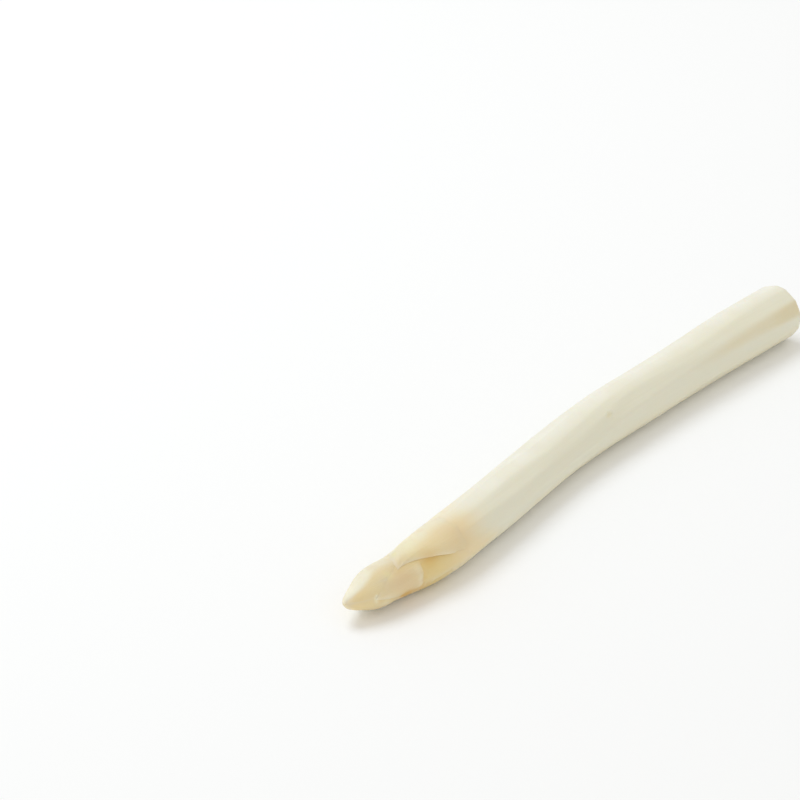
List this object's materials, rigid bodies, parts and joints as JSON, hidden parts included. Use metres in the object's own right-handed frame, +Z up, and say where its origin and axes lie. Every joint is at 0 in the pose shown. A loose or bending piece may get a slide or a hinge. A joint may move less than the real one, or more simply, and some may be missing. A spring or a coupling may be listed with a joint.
{
  "type": "white asparagus spear",
  "caption": "Single spear of white asparagus, peeled below the head, with overlapping scale leaves round its tip and a clean cut end, lying on its side.",
  "frame": {"origin": "on the ground plane, under the middle of the spear's bounding box", "axes": "+X along the spear from its tip to its cut end, +Z up from the surface that it lies on"},
  "size_m": [0.2204, 0.023, 0.0182],
  "materials": {
    "peeled_flesh": "moist satin, fine lengthwise fibres",
    "scale_skin": "satin, ivory to straw yellow, darker at the margins"
  },
  "bodies": {
    "root": {"stalk": "peeled_flesh", "scale_leaf_01": "scale_skin", "scale_leaf_02": "scale_skin", "scale_leaf_03": "scale_skin", "scale_leaf_04": "scale_skin", "scale_leaf_05": "scale_skin", "scale_leaf_06": "scale_skin", "scale_leaf_07": "scale_skin", "scale_leaf_08": "scale_skin", "scale_leaf_09": "scale_skin", "scale_leaf_10": "scale_skin"}
  },
  "joints": []
}
